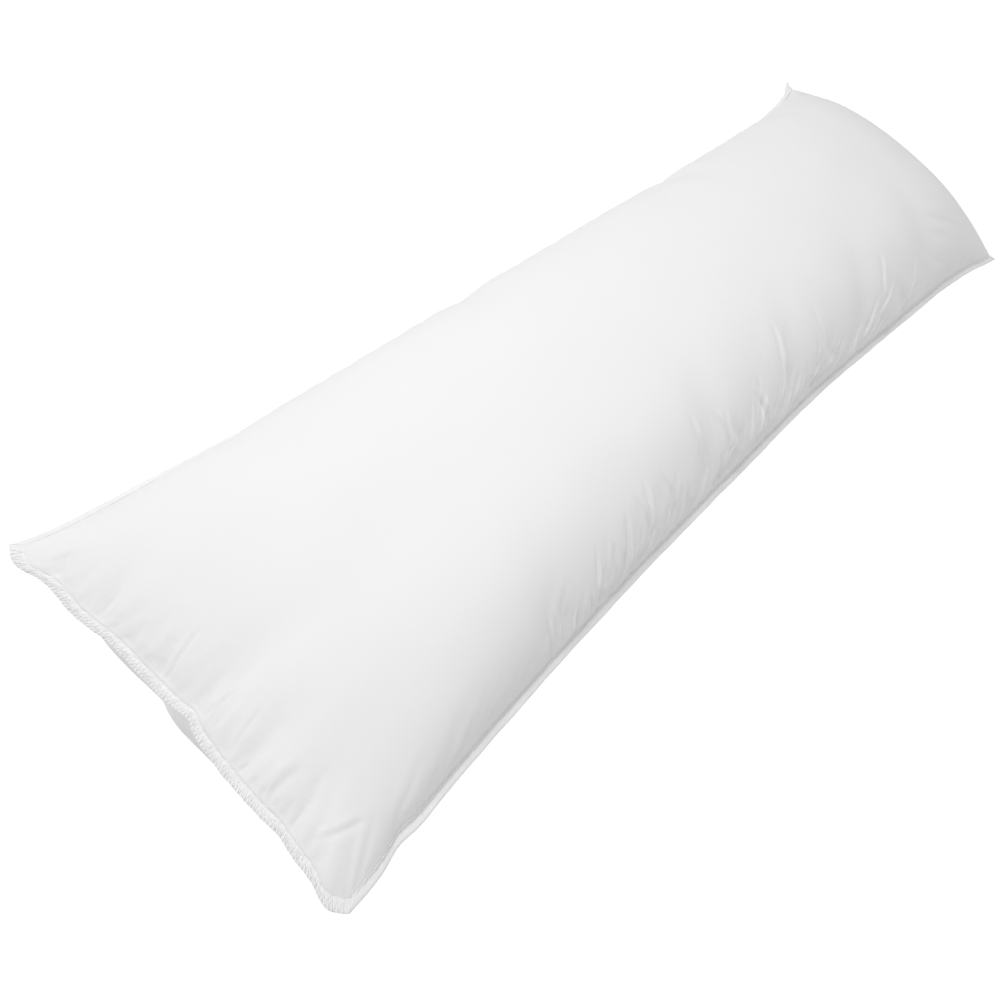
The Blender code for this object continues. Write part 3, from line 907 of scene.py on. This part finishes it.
def threads(name, paths, radii, square_to):
    """Round threads in one mesh: a row of points for each, and a radius for each point."""
    forwards = np.gradient(paths, axis=1)
    forwards /= np.linalg.norm(forwards, axis=-1, keepdims=True)
    sideways = np.cross(forwards, square_to)
    sideways /= np.linalg.norm(sideways, axis=-1, keepdims=True)
    upwards = np.cross(sideways, forwards)
    angles = np.arange(THREAD_SIDES) * 2 * math.pi / THREAD_SIDES
    across = np.cos(angles)[:, None] * sideways[:, :, None] + (
        np.sin(angles)[:, None] * upwards[:, :, None])
    points = paths[:, :, None] + radii[None, :, None, None] * across
    index = np.arange(points.size // 3).reshape(points.shape[:3])
    faces = []
    for thread in index:
        faces += [face[::-1] for face in squares(np.hstack((thread, thread[:, :1])))]
        faces.append(thread[0].tolist())
        faces.append(thread[-1, ::-1].tolist())
    return smooth_piece(name, points, faces)


# Sewing thread: twisted white cotton, a little brighter and glossier than the cloth.
THREAD_WHITE = (0.88, 0.88, 0.88)
THREAD_SHADE = 0.93          # its duller fibres, as a share of its colour
THREAD_ROUGHNESS = (0.5, 0.75)
FIBRE_SCALE = 2400.0
FIBRE_HEIGHT = 0.0001


def white_thread(name):
    material = bpy.data.materials.new(name)
    material.use_nodes = True
    tree = material.node_tree
    shader = tree.nodes["Principled BSDF"]
    shader.inputs["Metallic"].default_value = 0.0
    shader.inputs["Sheen Weight"].default_value = 0.35
    shader.inputs["Sheen Roughness"].default_value = 0.4
    shader.inputs["Specular IOR Level"].default_value = 0.3
    place = tree.nodes.new("ShaderNodeTexCoord")
    fibres = noise(tree, place, FIBRE_SCALE, 2.0)
    vary_colour(tree, fibres, THREAD_WHITE, THREAD_SHADE)
    vary_roughness(tree, fibres, *THREAD_ROUGHNESS)
    twist = raised(tree, fibres, 0.5, FIBRE_HEIGHT)
    tree.links.new(twist.outputs["Normal"], shader.inputs["Normal"])
    return material


STITCH_PITCH = 0.0030
STITCH_LENGTH = 0.0023
STITCH_RADIUS = 0.00022
STITCH_TAPER = (0.5, 0.95, 1.0, 0.95, 0.5)
STITCH_DIPS = (-0.0004, 0.0, 0.0001, 0.0, -0.0004)
STITCH_LINE = 0.34           # share of the edge's width
STITCHES_STOP = 0.006        # distance from the corner


def stitch_row(name, edge, up):
    """A row of straight stitches, each dipping into the cloth at both ends."""
    half = (WIDTH if edge.side in ("near", "far") else LENGTH) / 2 - STITCHES_STOP
    starts = np.arange(-half, half, STITCH_PITCH)[:, None]
    runs = starts + np.linspace(0, 1, len(STITCH_DIPS)) * STITCH_LENGTH
    paths = edge_place(edge, runs, STITCH_LINE, up + np.array(STITCH_DIPS))
    return threads(name, paths, STITCH_RADIUS * np.array(STITCH_TAPER), (0.0, 0.0, 1.0))


TURNED_STITCH_HEIGHT = 0.0016
edge_cotton = white_cotton("edge_cotton")
sewing_thread = white_thread("sewing_thread")
for edge in TURNED_EDGES:
    turned = edge_strip(edge, TURNED_SECTION)
    turned.data.materials.append(edge_cotton)
    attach(turned, "root")
    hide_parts(edge.node)
    stitches = stitch_row(edge.side + "_stitches", edge, TURNED_STITCH_HEIGHT)
    stitches.data.materials.append(sewing_thread)
    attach(stitches, "root")

# ---------------------------------------------------------------------------------------------
# Closing seam. The filling went in through the near end, which was then overlocked on the
# outside: both raw edges are bound together by thread, and the binding is gathered and wavy.
# ---------------------------------------------------------------------------------------------
CLOSING_SECTION = (
    SectionPoint(-0.25, 0.0050),
    SectionPoint(-0.12, 0.0037),
    SectionPoint(0.00, 0.0029),
    SectionPoint(0.12, 0.0023),
    SectionPoint(0.25, 0.0018),
    SectionPoint(0.40, 0.0015),
    SectionPoint(0.60, 0.0013),
    SectionPoint(0.84, 0.0012),
    SectionPoint(0.96, 0.0008),
    SectionPoint(0.98, 0.0000),
    SectionPoint(0.96, -0.0008),
    SectionPoint(0.84, -0.0012),
    SectionPoint(0.60, -0.0013),
    SectionPoint(0.18, -0.0012),
    SectionPoint(0.04, -0.0020),
    SectionPoint(-0.12, -0.0036),
)
CLOSING_EDGE = SewnEdge(
    "closing_seam", "near", "near_end_edge", 480, 0.0018, 0.0008, 0.0003, 0.0012, 5)
OVERLOCK_PITCH = 0.0042
OVERLOCK_RADIUS = 0.00050
OVERLOCK_MIDDLE = 0.55       # the loops reach this share of the edge's width, give or take
OVERLOCK_REACH = 0.41
OVERLOCK_RISE = 0.00195
OVERLOCK_FLATNESS = 0.4      # lower is flatter on top
OVERLOCK_SHIFT = 0.0004      # how far a loop is off its place, at most
OVERLOCK_SEED = 41
OVERLOCK_STOP = 0.004        # distance from the corner
LOOP_POINTS = 10
CLOSING_STITCH_HEIGHT = 0.0013


def overlock_path(edge, slant):
    """Thread wound round the edge in flat loops, leaning one way on top."""
    half = WIDTH / 2 - OVERLOCK_STOP
    loops = int(2 * half / OVERLOCK_PITCH)
    number = np.arange(loops * LOOP_POINTS)
    angle = number * 2 * math.pi / LOOP_POINTS
    random = np.random.RandomState(OVERLOCK_SEED)
    shift = random.uniform(-OVERLOCK_SHIFT, OVERLOCK_SHIFT, loops).repeat(LOOP_POINTS)
    run = -half + number / LOOP_POINTS * OVERLOCK_PITCH + shift
    out = OVERLOCK_MIDDLE + OVERLOCK_REACH * np.cos(angle)
    height = np.sin(slant * angle)
    up = OVERLOCK_RISE * np.sign(height) * np.abs(height) ** OVERLOCK_FLATNESS
    return edge_place(edge, run, out, up)[None]


closing_seam = edge_strip(CLOSING_EDGE, CLOSING_SECTION)
closing_seam.data.materials.append(edge_cotton)
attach(closing_seam, "root")
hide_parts("near_end_edge")
for name, slant in (("overlock_thread", 1), ("overlock_looper_thread", -1)):
    path = overlock_path(CLOSING_EDGE, slant)
    overlock = threads(name, path, np.full(path.shape[1], OVERLOCK_RADIUS), (0.0, 1.0, 0.0))
    overlock.data.materials.append(sewing_thread)
    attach(overlock, "root")
closing_stitches = stitch_row("closing_stitches", CLOSING_EDGE, CLOSING_STITCH_HEIGHT)
closing_stitches.data.materials.append(sewing_thread)
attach(closing_stitches, "root")

# ---------------------------------------------------------------------------------------------
# Floor, light and camera. A plain white studio floor, one large soft light high on the left,
# and even white light from all round. The camera looks down from beyond the near end.
# ---------------------------------------------------------------------------------------------
FLOOR_HALF = 9.0
FLOOR_LEVEL = -0.0005
FLOOR_WHITE = 0.12           # it glows by itself, and throws little of the light back
FLOOR_GLOW = 0.97
floor_mesh = bpy.data.meshes.new("floor")
floor_corners = [
    (x * FLOOR_HALF, y * FLOOR_HALF, FLOOR_LEVEL) for x, y in ((-1, -1), (1, -1), (1, 1), (-1, 1))]
floor_mesh.from_pydata(floor_corners, [], [(0, 1, 2, 3)])
floor = bpy.data.objects.new("floor", floor_mesh)
bpy.context.scene.collection.objects.link(floor)
floor_white = bpy.data.materials.new("floor_white")
floor_white.use_nodes = True
floor_shader = floor_white.node_tree.nodes["Principled BSDF"]
floor_shader.inputs["Base Color"].default_value = (FLOOR_WHITE, FLOOR_WHITE, FLOOR_WHITE, 1.0)
floor_shader.inputs["Emission Color"].default_value = (1.0, 1.0, 1.0, 1.0)
floor_shader.inputs["Emission Strength"].default_value = FLOOR_GLOW
floor_shader.inputs["Roughness"].default_value = 0.9
floor_shader.inputs["Specular IOR Level"].default_value = 0.0
floor.data.materials.append(floor_white)

WHITE_WALLS = 0.39           # light from all round, and how much more of it comes from the left
LEFT_WALL = 0.15
studio = bpy.data.worlds.new("studio")
studio.use_nodes = True
studio_tree = studio.node_tree
direction = studio_tree.nodes.new("ShaderNodeTexCoord")
leftwards = studio_tree.nodes.new("ShaderNodeSeparateXYZ")
strength = studio_tree.nodes.new("ShaderNodeMath")
strength.operation = "MULTIPLY_ADD"
strength.inputs[1].default_value = LEFT_WALL
strength.inputs[2].default_value = WHITE_WALLS
studio_tree.links.new(direction.outputs["Generated"], leftwards.inputs["Vector"])
studio_tree.links.new(leftwards.outputs["Y"], strength.inputs[0])
studio_background = studio_tree.nodes["Background"]
studio_background.inputs["Color"].default_value = (1, 1, 1, 1)
studio_tree.links.new(strength.outputs["Value"], studio_background.inputs["Strength"])
bpy.context.scene.world = studio

KEY_PLACE = Vector((-0.60, 0.5, 3.0))
KEY_AIM = Vector((-0.2, 0.0, 0.0))
KEY_SIZE = 1.6
KEY_POWER = 62.5
key_data = bpy.data.lights.new("key", "AREA")
key_data.shape = "SQUARE"
key_data.size = KEY_SIZE
key_data.energy = KEY_POWER
key = bpy.data.objects.new("key", key_data)
key.location = KEY_PLACE
key.rotation_mode = "QUATERNION"
key.rotation_quaternion = (KEY_PLACE - KEY_AIM).to_track_quat("Z", "Y")
bpy.context.scene.collection.objects.link(key)

bpy.context.scene.view_settings.view_transform = "Standard"

CAMERA_AZIMUTH = math.radians(-75.9)
CAMERA_ELEVATION = math.radians(65.8)
CAMERA_ROLL = math.radians(32.0)
CAMERA_DISTANCE = 0.743
CAMERA_TARGET = Vector((-0.379, -0.158, 0.08))
CAMERA_SENSOR = 36.0         # millimetres, and the lens too
CAMERA_LENS = 23.2
CAMERA_SHIFT = (-0.042, 0.103)

back_axis = Vector((
    math.sin(CAMERA_AZIMUTH) * math.cos(CAMERA_ELEVATION),
    -math.cos(CAMERA_AZIMUTH) * math.cos(CAMERA_ELEVATION),
    math.sin(CAMERA_ELEVATION)))
level = Vector((math.cos(CAMERA_AZIMUTH), math.sin(CAMERA_AZIMUTH), 0.0))
upright = back_axis.cross(level)
right_axis = level * math.cos(CAMERA_ROLL) + upright * math.sin(CAMERA_ROLL)
up_axis = upright * math.cos(CAMERA_ROLL) - level * math.sin(CAMERA_ROLL)
camera_data = bpy.data.cameras.new("camera")
camera_data.sensor_width = CAMERA_SENSOR
camera_data.lens = CAMERA_LENS
camera_data.shift_x, camera_data.shift_y = CAMERA_SHIFT
camera = bpy.data.objects.new("camera", camera_data)
turn = Matrix((right_axis, up_axis, back_axis)).transposed().to_4x4()
camera.matrix_world = Matrix.Translation(CAMERA_TARGET + back_axis * CAMERA_DISTANCE) @ turn
bpy.context.scene.collection.objects.link(camera)
bpy.context.scene.camera = camera
